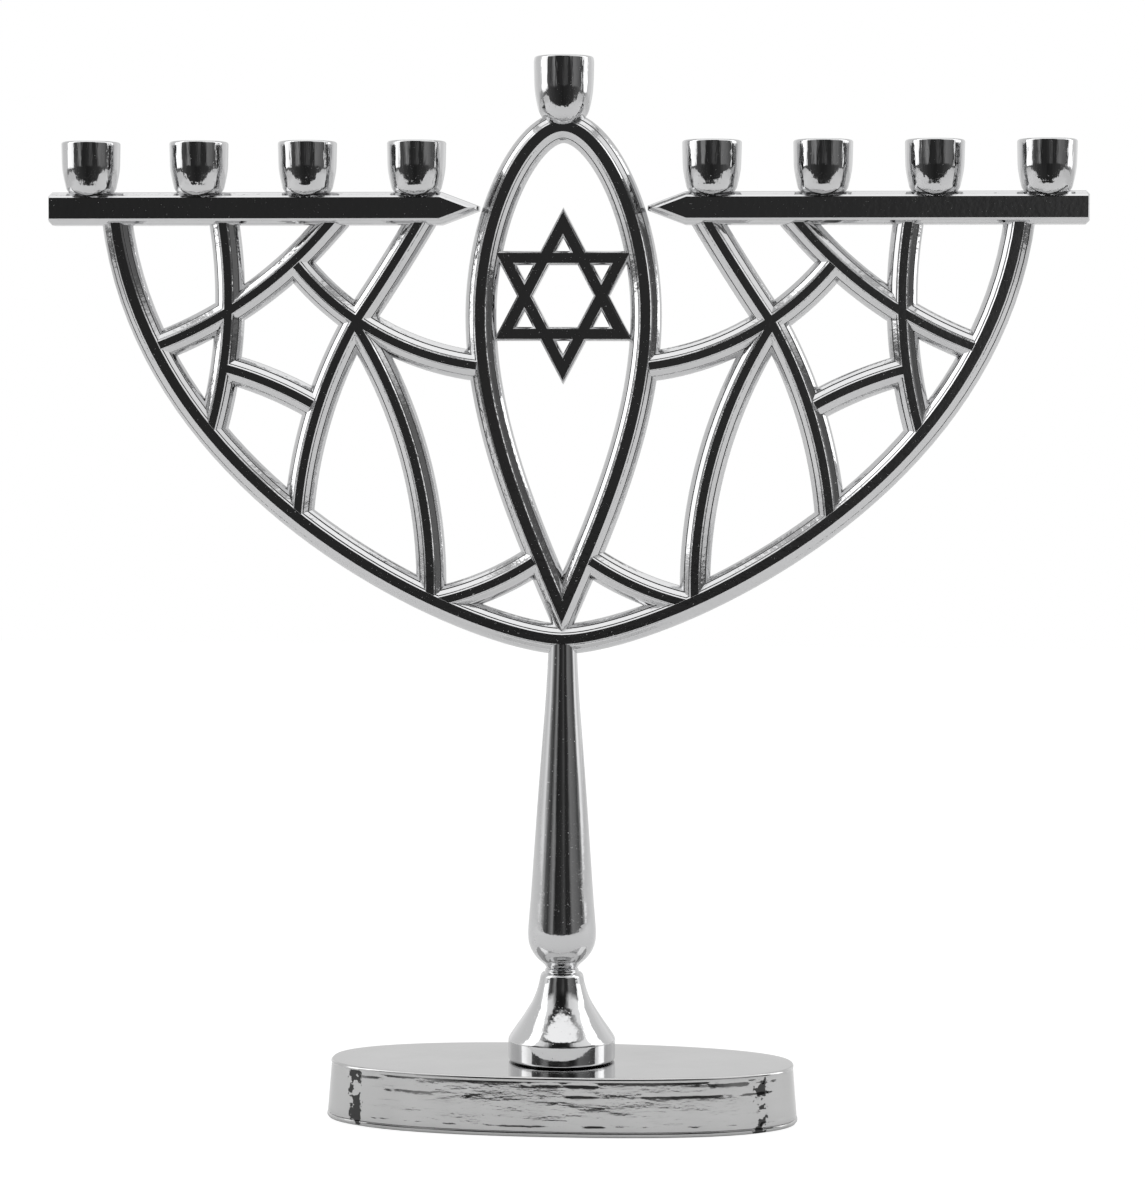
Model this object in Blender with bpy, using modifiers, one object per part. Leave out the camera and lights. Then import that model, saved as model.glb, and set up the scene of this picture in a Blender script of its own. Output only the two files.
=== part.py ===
"""Nine-light menorah of plated castings, as separate pieces.

Lengths are in metres. +Z is up, +X is to the right of somebody facing the menorah, and the front
faces -Y. The origin is at the middle of the pad that it stands on. The left and right halves are
mirror images, so the fan is described once, for positive x.
"""

import math

import bmesh
import bpy
from mathutils import Matrix, Vector

# Gap kept between neighbouring pieces where the real ones touch.
GAP = 0.0003

# Base: a shallow hollow casting, oblong in plan, that widens towards its foot.
BASE_HEIGHT = 0.0147
BASE_TOP_SIZE = (0.1142, 0.0462)
BASE_FOOT_SIZE = (0.1168, 0.0486)
BASE_SQUARENESS = 2.35
BASE_FOOT_LIP_HEIGHT = 0.0008
BASE_FOOT_FLARE_HEIGHT = 0.0030
BASE_FOOT_FLARE_SHARE = 0.35
BASE_WALL = 0.0030
BASE_PLATE = 0.0030
BASE_EDGE = 0.0004
BASE_RIM_CLEARANCE = 0.0004
PAD_THICKNESS = 0.0017
PAD_REBATE_WALL = 0.0015
PLAN_POINTS = 56
BOSS_RADIUS = 0.0075
BOSS_LENGTH = 0.0045

# How far cutters and joined pieces run past the surface that they meet.
CUTTER_OVERRUN = 0.0010

# Clamp screw, from the hollow of the base up into the stem.
SCREW_RADIUS = 0.0025
SCREW_HEAD_RADIUS = 0.0044
SCREW_HEAD_HEIGHT = 0.0030
SCREW_TOP = 0.0560
SCREW_HOLE_TOP = 0.0580
SCREW_CHAMFER = 0.0005
WASHER_RADIUS = 0.0065
WASHER_THICKNESS = 0.0010
ROUND_STEPS = 32
FASTENER_STEPS = 24

# Turned stem: radius and height pairs, top to bottom.
FOOT_PROFILE = (
    (0.0042, 0.0376),
    (0.0049, 0.0366),
    (0.0053, 0.0353),
    (0.0057, 0.0330),
    (0.0068, 0.0304),
    (0.0085, 0.0279),
    (0.0106, 0.0255),
    (0.0127, 0.0231),
    (0.01335, 0.0212),
    (0.0132, 0.0198),
    (0.0132, 0.0150),
)
STEM_PROFILE = (
    (0.0027, 0.1182),
    (0.0036, 0.1172),
    (0.0038, 0.1155),
    (0.0042, 0.1040),
    (0.0061, 0.0794),
    (0.0078, 0.0549),
    (0.00845, 0.0460),
    (0.0083, 0.0438),
    (0.0075, 0.0420),
    (0.0060, 0.0400),
    (0.0046, 0.0390),
    (0.0042, 0.0379),
)

# Rails and ribs of the fan: half width of the crown, half width of the whole rail, half depth at
# the crown and half depth at the sides. The bevels between them face outwards on front and back.
RIB_SECTION = (0.0010, 0.00375, 0.0031, 0.0013)
BOW_SECTION = (0.0014, 0.0038, 0.0031, 0.0013)
MANDORLA_SECTION = (0.0012, 0.00385, 0.0031, 0.0013)

# Outer bow: crown line of the right half.
BOW_LOW_Z = 0.1193
BOW_LOW_HANDLE = 0.0212
BOW_END = (0.1108, 0.2205)
BOW_END_HANDLE = (0.0082, 0.0668)
BOW_STEPS = 20

# Pointed oval at the centre: crown line of the right half.
OVAL_TOP_Z = 0.2445
OVAL_TOP_HANDLE = 0.0092
OVAL_SIDE = (0.0203, 0.1985)
OVAL_SIDE_HANDLES = (0.0242, 0.0258)
OVAL_POINT_Z = 0.1262
OVAL_POINT_HANDLE = (0.0092, 0.0214)
OVAL_STEPS = 12

# Ribs of the right half, each an arc: start, end, bulge to the left of its run, and how far the
# rib runs on past its start and its end.
RIB_CROSSING = (0.0512, 0.1966)
RIBS = (
    ((0.0838, 0.2204), (0.0872, 0.1700), -0.0027, 0.0040, 0.0015),
    ((0.0590, 0.2193), (0.0996, 0.1912), -0.0030, 0.0050, 0.0015),
    (RIB_CROSSING, (0.0361, 0.2200), 0.0002, 0.0, 0.0050),
    (RIB_CROSSING, (0.0655, 0.1494), 0.0027, 0.0, 0.0015),
    ((0.0656, 0.2109), (0.0212, 0.1863), 0.0049, 0.0, 0.0015),
    (RIB_CROSSING, (0.0326, 0.1290), -0.0053, 0.0, 0.0015),
    ((0.0830, 0.1855), (0.0618, 0.1768), -0.0007, 0.0, 0.0),
    ((0.0310, 0.1283), (0.0070, 0.1385), 0.0012, 0.0, 0.0010),
)
RIB_STEPS = 8

# How far the swept halves run past the middle plane and past their ends before they are cut.
MIDDLE_OVERRUN = 0.004
MIDDLE_FLAT = 0.0006
BOW_OVERRUN = 0.003
POINT_OVERRUN = 0.014

# Box that trims the oval below the bow.
TRIM_BOX_HALF_WIDTH = 0.020
TRIM_BOX_HEIGHT = 0.012

# Bars that carry four cups each. The inner end is pointed.
BAR_BOTTOM_Z = 0.2207
BAR_TOP_Z = 0.2288
BAR_OUTER_X = 0.1274
BAR_SHOULDER_X = 0.0299
BAR_TIP_X = 0.0207
BAR_TIP_HALF_HEIGHT = 0.0005
BAR_HALF_DEPTH = 0.0042
BAR_CHAMFER = 0.0016

# Star of two crossed triangles, set in the oval.
STAR_CENTRE_Z = 0.2034
STAR_HALF_HEIGHT = 0.0216
STAR_SIDE_HEIGHT = 0.0326
STAR_HALF_WIDTH = 0.0172
STAR_BAND = 0.0034
STAR_HALF_DEPTH = 0.0020
STAR_CHAMFER = 0.0004

# Candle cups: radius and height pairs above the cup's lowest point, down the outside.
CUP_SPACING = 0.0270
FIRST_CUP_X = 0.0362
CUPS_PER_SIDE = 4
CUP_BOTTOM_Z = 0.2266
SHAMASH_BOTTOM_Z = 0.2442
CUP_OUTSIDE = (
    (0.0071, 0.0146),
    (0.0074, 0.0142),
    (0.0073, 0.0098),
    (0.0070, 0.0071),
    (0.0065, 0.0045),
    (0.0060, 0.0029),
    (0.0044, 0.0013),
    (0.0, 0.0),
)
SHAMASH_OUTSIDE = (
    (0.0072, 0.0174),
    (0.0075, 0.0170),
    (0.0073, 0.0106),
    (0.0070, 0.0080),
    (0.0065, 0.0055),
    (0.0058, 0.0034),
    (0.0040, 0.0013),
    (0.0, 0.0),
)
CUP_LIP_HEIGHT = 0.0008
CUP_LIP_WIDTH = 0.0006
WELL_FLOOR_RADIUS = 0.0052
WELL_MOUTH_RADIUS = 0.0054
CUP_FLOOR_HEIGHT = 0.0042
SHAMASH_FLOOR_HEIGHT = 0.0060
CUP_STEPS = 24

CHROME_COLOUR = (0.80, 0.80, 0.81, 1.0)
STEEL_COLOUR = (0.52, 0.53, 0.55, 1.0)
PAD_COLOUR = (0.03, 0.03, 0.03, 1.0)


def clear_scene():
    """Remove every object of the scene that the file opened with."""
    for obj in list(bpy.data.objects):
        bpy.data.objects.remove(obj, do_unlink=True)


def new_collection(name):
    """Make a collection in the scene."""
    collection = bpy.data.collections.new(name)
    bpy.context.scene.collection.children.link(collection)
    return collection


def add_material(obj, colour, metallic, roughness):
    """Give the object a material of its own."""
    material = bpy.data.materials.new(obj.name)
    material.use_nodes = True
    shader = material.node_tree.nodes["Principled BSDF"]
    shader.inputs["Base Color"].default_value = colour
    shader.inputs["Metallic"].default_value = metallic
    shader.inputs["Roughness"].default_value = roughness
    obj.data.materials.append(material)


def add_part(name, mesh, location=(0.0, 0.0, 0.0)):
    """Add a mesh to the menorah as a named piece."""
    part = bpy.data.objects.new(name, mesh)
    part.location = location
    PARTS.objects.link(part)
    return part


def add_cutter(name, mesh):
    """Add a mesh that only cuts or joins others, and isn't rendered."""
    cutter = bpy.data.objects.new(name, mesh)
    cutter.hide_render = True
    cutter.display_type = "WIRE"
    CUTTERS.objects.link(cutter)
    return cutter


def add_boolean(obj, other, operation):
    """Cut the other object out of this one, or join it on."""
    boolean = obj.modifiers.new(f"{operation} {other.name}".lower(), "BOOLEAN")
    boolean.operation = operation
    boolean.object = other
    boolean.solver = "EXACT"


def mesh_of(obj):
    """The object's evaluated mesh in world space, with coincident points welded."""
    bpy.context.view_layer.update()
    graph = bpy.context.evaluated_depsgraph_get()
    mesh = bpy.data.meshes.new_from_object(obj.evaluated_get(graph))
    mesh.transform(obj.matrix_world)
    welded = bmesh.new()
    welded.from_mesh(mesh)
    bmesh.ops.remove_doubles(welded, verts=welded.verts, dist=1e-6)
    bmesh.ops.recalc_face_normals(welded, faces=welded.faces)
    if welded.calc_volume(signed=True) < 0:
        bmesh.ops.reverse_faces(welded, faces=welded.faces)
    welded.to_mesh(mesh)
    welded.free()
    return mesh


def take_mesh(obj):
    """Turn a helper object into its mesh alone."""
    mesh = mesh_of(obj)
    bpy.data.objects.remove(obj, do_unlink=True)
    return mesh


def new_curve(name):
    """Make a flat curve object with no points."""
    curve = bpy.data.curves.new(name, "CURVE")
    curve.dimensions = "2D"
    curve.fill_mode = "NONE"
    return add_cutter(name, curve)


def add_poly_spline(curve, points, cyclic):
    """Add a spline of straight runs through (across, up) points."""
    spline = curve.splines.new("POLY")
    spline.points.add(len(points) - 1)
    for point, (across, up) in zip(spline.points, points):
        point.co = (across, up, 0.0, 1.0)
    spline.use_cyclic_u = cyclic
    return spline


def stand_up(mesh):
    """Turn a mesh drawn flat into the fan's upright plane, its depths rounded to a micrometre.

    The rounding puts the faces of crossing rails into exactly the same planes.
    """
    for vertex in mesh.vertices:
        across, up, depth = vertex.co
        vertex.co = (across, round(-depth, 6), up)
    return mesh


def grown(section, gap):
    """The section made larger by a gap on every side."""
    crown, half_width, crown_depth, side_depth = section
    return crown + gap / 2, half_width + gap, crown_depth + gap, side_depth + gap / 2


def rail_mesh(points, section):
    """Sweep a bevelled section along (x, z) points of the fan's plane."""
    crown, half_width, crown_depth, side_depth = section
    front = (
        (half_width, side_depth),
        (crown, crown_depth),
        (-crown, crown_depth),
        (-half_width, side_depth),
    )
    outline = front + tuple((-across, -depth) for across, depth in front)
    profile = new_curve("rail section")
    add_poly_spline(profile.data, outline, cyclic=True)
    rail = new_curve("rail path")
    add_poly_spline(rail.data, points, cyclic=False)
    rail.data.bevel_mode = "OBJECT"
    rail.data.bevel_object = profile
    rail.data.use_fill_caps = True
    mesh = stand_up(take_mesh(rail))
    bpy.data.objects.remove(profile, do_unlink=True)
    return mesh


def bezier_points(start, start_handle, end_handle, end, steps):
    """Points on a cubic curve between two ends, in the fan's plane."""
    corners = [Vector(corner) for corner in (start, start_handle, end_handle, end)]
    points = []
    for step in range(steps + 1):
        t = step / steps
        weights = ((1 - t) ** 3, 3 * t * (1 - t) ** 2, 3 * t * t * (1 - t), t**3)
        points.append(sum((w * c for w, c in zip(weights, corners)), Vector((0.0, 0.0))))
    return points


def arc_points(start, end, bulge, steps):
    """Points on the arc from start to end that bulges to the left of its run."""
    start = Vector(start)
    end = Vector(end)
    if abs(bulge) < 1e-6:
        return [start.lerp(end, step / steps) for step in range(steps + 1)]
    chord = end - start
    half = chord.length / 2
    radius = (half * half + bulge * bulge) / (2 * bulge)
    normal = Vector((-chord.y, chord.x)).normalized()
    centre = (start + end) / 2 + normal * (bulge - radius)
    sweep = 2 * math.asin(half / radius)
    return [
        centre + Matrix.Rotation(-sweep * step / steps, 2) @ (start - centre)
        for step in range(steps + 1)
    ]


def run_on(points, before, after):
    """Lengthen a line of points straight past its first and last point."""
    first = points[0] + (points[0] - points[1]).normalized() * before
    last = points[-1] + (points[-1] - points[-2]).normalized() * after
    return ([first] if before else []) + points + ([last] if after else [])


def across_middle(points):
    """Swap a first point on the middle plane for a short level stretch across the plane."""
    level = points[0].y
    return [Vector((-MIDDLE_OVERRUN, level)), Vector((MIDDLE_FLAT, level))] + points[1:]


def bow_line():
    """Crown line of the bow's right half, from just past the middle to past its end."""
    end = Vector(BOW_END)
    points = bezier_points(
        (0.0, BOW_LOW_Z), (BOW_LOW_HANDLE, BOW_LOW_Z), end - Vector(BOW_END_HANDLE), end, BOW_STEPS
    )
    return run_on(across_middle(points), before=0.0, after=BOW_OVERRUN)


def oval_line():
    """Crown line of the oval's right half, from just past the middle to past its point."""
    side = Vector(OVAL_SIDE)
    above, below = OVAL_SIDE_HANDLES
    top = Vector((0.0, OVAL_TOP_Z))
    point = Vector((0.0, OVAL_POINT_Z))
    top_handle = top + Vector((OVAL_TOP_HANDLE, 0.0))
    upper = bezier_points(top, top_handle, side + Vector((0.0, above)), side, OVAL_STEPS)
    point_handle = point + Vector(OVAL_POINT_HANDLE)
    lower = bezier_points(side, side - Vector((0.0, below)), point_handle, point, OVAL_STEPS)
    return run_on(across_middle(upper) + lower[1:], before=0.0, after=POINT_OVERRUN)


def mirrored_mesh(name, half):
    """Cut a half at the middle plane and mirror what lies at positive x."""
    whole = add_cutter(name, half)
    mirror = whole.modifiers.new("mirror", "MIRROR")
    mirror.use_bisect_axis[0] = True
    mirror.bisect_threshold = 0.00001
    mirror.merge_threshold = 0.00001
    return take_mesh(whole)


def turned_mesh(name, profile, steps):
    """Turn (radius, height) pairs, listed down the outside and back up the inside."""
    points = [Vector((radius, 0.0, height)) for radius, height in profile]
    mesh = bpy.data.meshes.new(name)
    mesh.from_pydata(points, [(i, i + 1) for i in range(len(points) - 1)], [])
    turned = add_cutter(name, mesh)
    screw = turned.modifiers.new("screw", "SCREW")
    screw.steps = steps
    screw.render_steps = steps
    screw.use_merge_vertices = True
    screw.merge_threshold = 0.00001
    return take_mesh(turned)


def plan_outline(length, depth, points):
    """Oblong plan with full ends and gently curved long sides."""
    outline = []
    for index in range(points):
        angle = 2 * math.pi * index / points
        across = math.copysign(abs(math.cos(angle)) ** (2 / BASE_SQUARENESS), math.cos(angle))
        back = math.copysign(abs(math.sin(angle)) ** (2 / BASE_SQUARENESS), math.sin(angle))
        outline.append((across * length / 2, back * depth / 2))
    return outline


def plan_stack_mesh(name, rings):
    """Closed solid through plan outlines, given as (length, depth, height) from low to high."""
    solid = bmesh.new()
    loops = []
    for length, depth, height in rings:
        outline = plan_outline(length, depth, PLAN_POINTS)
        loops.append([solid.verts.new((x, y, height)) for x, y in outline])
    for lower, upper in zip(loops, loops[1:]):
        for index in range(PLAN_POINTS):
            following = (index + 1) % PLAN_POINTS
            solid.faces.new((lower[index], lower[following], upper[following], upper[index]))
    solid.faces.new(list(reversed(loops[0])))
    solid.faces.new(loops[-1])
    mesh = bpy.data.meshes.new(name)
    solid.to_mesh(mesh)
    solid.free()
    return mesh


def smooth(obj, degrees=30.0):
    """Shade round surfaces smooth and keep real edges sharp."""
    obj.data.shade_smooth()
    obj.data.set_sharp_from_angle(angle=math.radians(degrees))


def screw_hole_cutter(name, radius, low, high):
    """Upright round cutter on the stem's axis."""
    profile = ((0.0, high), (radius, high), (radius, low), (0.0, low))
    return add_cutter(name, turned_mesh(name, profile, FASTENER_STEPS))


def box_cutter(name, half_width, low, high):
    """Box around the fan's middle, between two heights."""
    box = bmesh.new()
    bmesh.ops.create_cube(box, size=1.0)
    bmesh.ops.scale(box, verts=box.verts, vec=(2 * half_width, 2 * half_width, high - low))
    bmesh.ops.translate(box, verts=box.verts, vec=(0.0, 0.0, (low + high) / 2))
    mesh = bpy.data.meshes.new(name)
    box.to_mesh(mesh)
    box.free()
    return add_cutter(name, mesh)


def make_base():
    """Hollow casting with a boss for the clamp screw and a rebate for the pad."""
    top_length, top_depth = BASE_TOP_SIZE
    foot_length, foot_depth = BASE_FOOT_SIZE
    bottom = BASE_RIM_CLEARANCE
    middle_length = top_length + (foot_length - top_length) * BASE_FOOT_FLARE_SHARE
    middle_depth = top_depth + (foot_depth - top_depth) * BASE_FOOT_FLARE_SHARE
    outside = (
        (foot_length, foot_depth, bottom),
        (foot_length, foot_depth, bottom + BASE_FOOT_LIP_HEIGHT),
        (middle_length, middle_depth, bottom + BASE_FOOT_FLARE_HEIGHT),
        (top_length, top_depth, BASE_HEIGHT - BASE_EDGE),
        (top_length - 2 * BASE_EDGE, top_depth - 2 * BASE_EDGE, BASE_HEIGHT),
    )
    base = add_part("base_shell", plan_stack_mesh("base_shell", outside))
    hollow_size = (top_length - 2 * BASE_WALL, top_depth - 2 * BASE_WALL)
    plate_under = BASE_HEIGHT - BASE_PLATE
    hollow_rings = ((*hollow_size, -CUTTER_OVERRUN), (*hollow_size, plate_under))
    hollow = add_cutter("base hollow", plan_stack_mesh("base hollow", hollow_rings))
    boss_profile = (
        (0.0, plate_under + CUTTER_OVERRUN),
        (BOSS_RADIUS, plate_under + CUTTER_OVERRUN),
        (BOSS_RADIUS, plate_under - BOSS_LENGTH),
        (0.0, plate_under - BOSS_LENGTH),
    )
    boss = add_cutter("base boss", turned_mesh("base boss", boss_profile, ROUND_STEPS))
    rebate_size = (foot_length - 2 * PAD_REBATE_WALL, foot_depth - 2 * PAD_REBATE_WALL)
    rebate_rings = ((*rebate_size, -CUTTER_OVERRUN), (*rebate_size, PAD_THICKNESS + GAP))
    rebate = add_cutter("pad rebate", plan_stack_mesh("pad rebate", rebate_rings))
    hole = screw_hole_cutter("base screw hole", SCREW_RADIUS + GAP, 0.0, BASE_HEIGHT + CUTTER_OVERRUN)
    add_boolean(base, hollow, "DIFFERENCE")
    add_boolean(base, boss, "UNION")
    add_boolean(base, rebate, "DIFFERENCE")
    add_boolean(base, hole, "DIFFERENCE")
    smooth(base)
    add_material(base, CHROME_COLOUR, 1.0, 0.12)


def make_pad():
    """Thin pad that the menorah stands on, let into the base's rebate."""
    foot_length, foot_depth = BASE_FOOT_SIZE
    inset = 2 * (PAD_REBATE_WALL + GAP)
    size = (foot_length - inset, foot_depth - inset)
    pad = add_part("base_pad", plan_stack_mesh("base_pad", ((*size, 0.0), (*size, PAD_THICKNESS))))
    smooth(pad)
    add_material(pad, PAD_COLOUR, 0.0, 0.9)


def make_fasteners():
    """Clamp screw with its washer, under the base's boss."""
    boss_z = BASE_HEIGHT - BASE_PLATE - BOSS_LENGTH
    washer_top = boss_z - GAP
    washer_bottom = washer_top - WASHER_THICKNESS
    bore = SCREW_RADIUS + GAP
    washer_profile = (
        (bore, washer_top),
        (WASHER_RADIUS, washer_top),
        (WASHER_RADIUS, washer_bottom),
        (bore, washer_bottom),
        (bore, washer_top),
    )
    washer = add_part("screw_washer", turned_mesh("screw_washer", washer_profile, FASTENER_STEPS))
    add_material(washer, STEEL_COLOUR, 1.0, 0.35)
    head_top = washer_bottom - GAP
    head_bottom = head_top - SCREW_HEAD_HEIGHT
    screw_profile = (
        (0.0, SCREW_TOP),
        (SCREW_RADIUS - SCREW_CHAMFER, SCREW_TOP),
        (SCREW_RADIUS, SCREW_TOP - SCREW_CHAMFER),
        (SCREW_RADIUS, head_top),
        (SCREW_HEAD_RADIUS, head_top),
        (SCREW_HEAD_RADIUS, head_bottom),
        (0.0, head_bottom),
    )
    screw = add_part("clamp_screw", turned_mesh("clamp_screw", screw_profile, FASTENER_STEPS))
    add_material(screw, STEEL_COLOUR, 1.0, 0.3)
    for piece in (washer, screw):
        smooth(piece)


def make_stem(bow_cutter):
    """Bell-shaped foot and tapering stem, bored for the clamp screw."""
    foot_bottom = FOOT_PROFILE[-1][1]
    foot_profile = ((0.0, FOOT_PROFILE[0][1]), *FOOT_PROFILE, (0.0, foot_bottom))
    foot = add_part("stem_foot", turned_mesh("stem_foot", foot_profile, ROUND_STEPS))
    stem_profile = ((0.0, STEM_PROFILE[0][1]), *STEM_PROFILE, (0.0, STEM_PROFILE[-1][1]))
    stem = add_part("stem", turned_mesh("stem", stem_profile, ROUND_STEPS))
    hole_bottom = foot_bottom - CUTTER_OVERRUN
    hole = screw_hole_cutter("stem screw hole", SCREW_RADIUS + GAP, hole_bottom, SCREW_HOLE_TOP)
    add_boolean(foot, hole, "DIFFERENCE")
    add_boolean(stem, hole, "DIFFERENCE")
    add_boolean(stem, bow_cutter, "DIFFERENCE")
    for piece in (foot, stem):
        smooth(piece)
        add_material(piece, CHROME_COLOUR, 1.0, 0.08)


def bar_mesh(side, grow):
    """Chamfered bar with a pointed inner end, made larger all round by grow."""
    low = BAR_BOTTOM_Z - grow
    high = BAR_TOP_Z + grow
    middle = (low + high) / 2
    tip = BAR_TIP_HALF_HEIGHT + grow
    outline = (
        (BAR_OUTER_X + grow, low),
        (BAR_OUTER_X + grow, high),
        (BAR_SHOULDER_X, high),
        (BAR_TIP_X - grow, middle + tip),
        (BAR_TIP_X - grow, middle - tip),
        (BAR_SHOULDER_X, low),
    )
    depth = BAR_HALF_DEPTH + grow
    slab = bmesh.new()
    face = slab.faces.new([slab.verts.new((side * x, -depth, z)) for x, z in outline])
    extruded = bmesh.ops.extrude_face_region(slab, geom=[face], use_keep_orig=True)
    moved = [item for item in extruded["geom"] if isinstance(item, bmesh.types.BMVert)]
    bmesh.ops.translate(slab, verts=moved, vec=(0.0, 2 * depth, 0.0))
    bmesh.ops.recalc_face_normals(slab, faces=slab.faces)
    rims = [edge for edge in slab.edges if abs(edge.verts[0].co.y - edge.verts[1].co.y) < 1e-6]
    bmesh.ops.bevel(slab, geom=rims, offset=BAR_CHAMFER, segments=1, affect="EDGES", profile=0.5)
    mesh = bpy.data.meshes.new("bar")
    slab.to_mesh(mesh)
    slab.free()
    return mesh


def triangle_frame_mesh(name, tip_z, base_z):
    """Chamfered triangular frame with one point up or down."""
    rise = abs(tip_z - base_z)
    slant = math.hypot(rise, STAR_HALF_WIDTH)
    inner_base = base_z + math.copysign(STAR_BAND, tip_z - base_z)
    inner_tip = tip_z - math.copysign(STAR_BAND * slant / STAR_HALF_WIDTH, tip_z - base_z)
    inner_half_width = abs(inner_tip - inner_base) * STAR_HALF_WIDTH / rise
    frame = new_curve(name)
    frame.data.fill_mode = "BOTH"
    frame.data.extrude = STAR_HALF_DEPTH - STAR_CHAMFER
    frame.data.bevel_depth = STAR_CHAMFER
    frame.data.bevel_resolution = 0
    frame.data.offset = -STAR_CHAMFER
    for tip, base, half_width in (
        (tip_z, base_z, STAR_HALF_WIDTH),
        (inner_tip, inner_base, inner_half_width),
    ):
        add_poly_spline(frame.data, ((-half_width, base), (half_width, base), (0.0, tip)), cyclic=True)
    return stand_up(take_mesh(frame))


def make_star(oval_cutter):
    """Two crossed triangular frames, trimmed where they meet the oval."""
    top = STAR_CENTRE_Z + STAR_HALF_HEIGHT
    bottom = STAR_CENTRE_Z - STAR_HALF_HEIGHT
    star = add_part("star", triangle_frame_mesh("star", top, top - STAR_SIDE_HEIGHT))
    lower = triangle_frame_mesh("star lower triangle", bottom, bottom + STAR_SIDE_HEIGHT)
    other = add_cutter("star lower triangle", lower)
    add_boolean(star, other, "UNION")
    add_boolean(star, oval_cutter, "DIFFERENCE")
    add_material(star, CHROME_COLOUR, 1.0, 0.1)


def make_tracery(name, side, neighbours):
    """One side's curved ribs as a single openwork piece, trimmed to its neighbours."""
    meshes = []
    for start, end, bulge, before, after in RIBS:
        line = run_on(arc_points(start, end, bulge, RIB_STEPS), before, after)
        meshes.append(rail_mesh([(side * point.x, point.y) for point in line], RIB_SECTION))
    tracery = add_part(name, meshes[0])
    for index, mesh in enumerate(meshes[1:]):
        add_boolean(tracery, add_cutter(f"{name} rib {index + 2}", mesh), "UNION")
    for neighbour in neighbours:
        add_boolean(tracery, neighbour, "DIFFERENCE")
    add_material(tracery, CHROME_COLOUR, 1.0, 0.1)


def cup_profile(outside, floor_height):
    """Closed profile of a cup with its well, from the well's floor over the rim to the bottom."""
    rim_height = outside[0][1]
    inside = (
        (0.0, floor_height),
        (WELL_FLOOR_RADIUS, floor_height),
        (WELL_MOUTH_RADIUS, rim_height - CUP_LIP_HEIGHT),
        (WELL_MOUTH_RADIUS + CUP_LIP_WIDTH, rim_height),
    )
    return inside + outside


def make_cup(name, location, outside, floor_height, seat_cutter):
    """Candle cup whose underside straddles the piece that carries it."""
    mesh = turned_mesh(name, cup_profile(outside, floor_height), CUP_STEPS)
    cup = add_part(name, mesh, location)
    add_boolean(cup, seat_cutter, "DIFFERENCE")
    smooth(cup)
    add_material(cup, CHROME_COLOUR, 1.0, 0.08)


def make_fan():
    """Bow, oval, bars, tracery, star and cups."""
    grown_bow = rail_mesh(bow_line(), grown(BOW_SECTION, GAP))
    bow_cutter = add_cutter("bow cutter", mirrored_mesh("bow cutter", grown_bow))
    grown_oval = rail_mesh(oval_line(), grown(MANDORLA_SECTION, GAP))
    oval_cutter = add_cutter("oval cutter", mirrored_mesh("oval cutter", grown_oval))
    bow = add_part("bow", mirrored_mesh("bow", rail_mesh(bow_line(), BOW_SECTION)))
    oval = add_part("mandorla", mirrored_mesh("mandorla", rail_mesh(oval_line(), MANDORLA_SECTION)))
    add_boolean(oval, bow_cutter, "DIFFERENCE")
    trim_box = box_cutter("below bow", TRIM_BOX_HALF_WIDTH, BOW_LOW_Z - TRIM_BOX_HEIGHT, BOW_LOW_Z)
    add_boolean(oval, trim_box, "DIFFERENCE")
    for piece in (bow, oval):
        add_material(piece, CHROME_COLOUR, 1.0, 0.1)
    for side, word in ((-1, "left"), (1, "right")):
        bar = add_part(f"bar_{word}", bar_mesh(side, 0.0))
        add_material(bar, CHROME_COLOUR, 1.0, 0.1)
        bar_cutter = add_cutter(f"bar cutter {word}", bar_mesh(side, GAP))
        add_boolean(bow, bar_cutter, "DIFFERENCE")
        make_tracery(f"tracery_{word}", side, (bow_cutter, oval_cutter, bar_cutter))
        for index in range(CUPS_PER_SIDE):
            number = CUPS_PER_SIDE - index if side < 0 else CUPS_PER_SIDE + 1 + index
            place = (side * (FIRST_CUP_X + index * CUP_SPACING), 0.0, CUP_BOTTOM_Z)
            make_cup(f"candle_cup_{number}", place, CUP_OUTSIDE, CUP_FLOOR_HEIGHT, bar_cutter)
    make_star(oval_cutter)
    shamash_place = (0.0, 0.0, SHAMASH_BOTTOM_Z)
    make_cup("shamash_cup", shamash_place, SHAMASH_OUTSIDE, SHAMASH_FLOOR_HEIGHT, oval_cutter)
    return bow_cutter


clear_scene()
PARTS = new_collection("menorah")
CUTTERS = new_collection("cutters")
make_base()
make_pad()
make_fasteners()
make_stem(make_fan())
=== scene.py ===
import math

import bmesh
import bpy
from mathutils import Matrix, Vector, noise


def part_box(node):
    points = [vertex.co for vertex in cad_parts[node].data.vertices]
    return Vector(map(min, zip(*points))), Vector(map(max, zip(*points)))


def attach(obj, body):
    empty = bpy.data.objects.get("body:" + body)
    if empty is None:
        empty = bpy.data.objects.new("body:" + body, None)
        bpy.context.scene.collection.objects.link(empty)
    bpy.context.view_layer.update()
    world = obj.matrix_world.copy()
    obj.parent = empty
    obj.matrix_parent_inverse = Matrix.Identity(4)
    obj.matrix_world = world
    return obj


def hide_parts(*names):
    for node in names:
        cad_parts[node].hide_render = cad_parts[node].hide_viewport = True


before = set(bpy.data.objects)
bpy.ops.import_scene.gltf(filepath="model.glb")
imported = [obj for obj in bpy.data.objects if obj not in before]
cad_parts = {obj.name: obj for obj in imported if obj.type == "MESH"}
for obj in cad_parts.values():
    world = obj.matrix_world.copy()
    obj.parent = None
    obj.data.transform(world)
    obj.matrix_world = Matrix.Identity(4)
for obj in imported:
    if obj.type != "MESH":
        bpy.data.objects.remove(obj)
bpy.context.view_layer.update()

# Looks of a nine-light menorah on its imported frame: finer pieces, bright plate and a pale studio.

MM = 0.001

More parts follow.
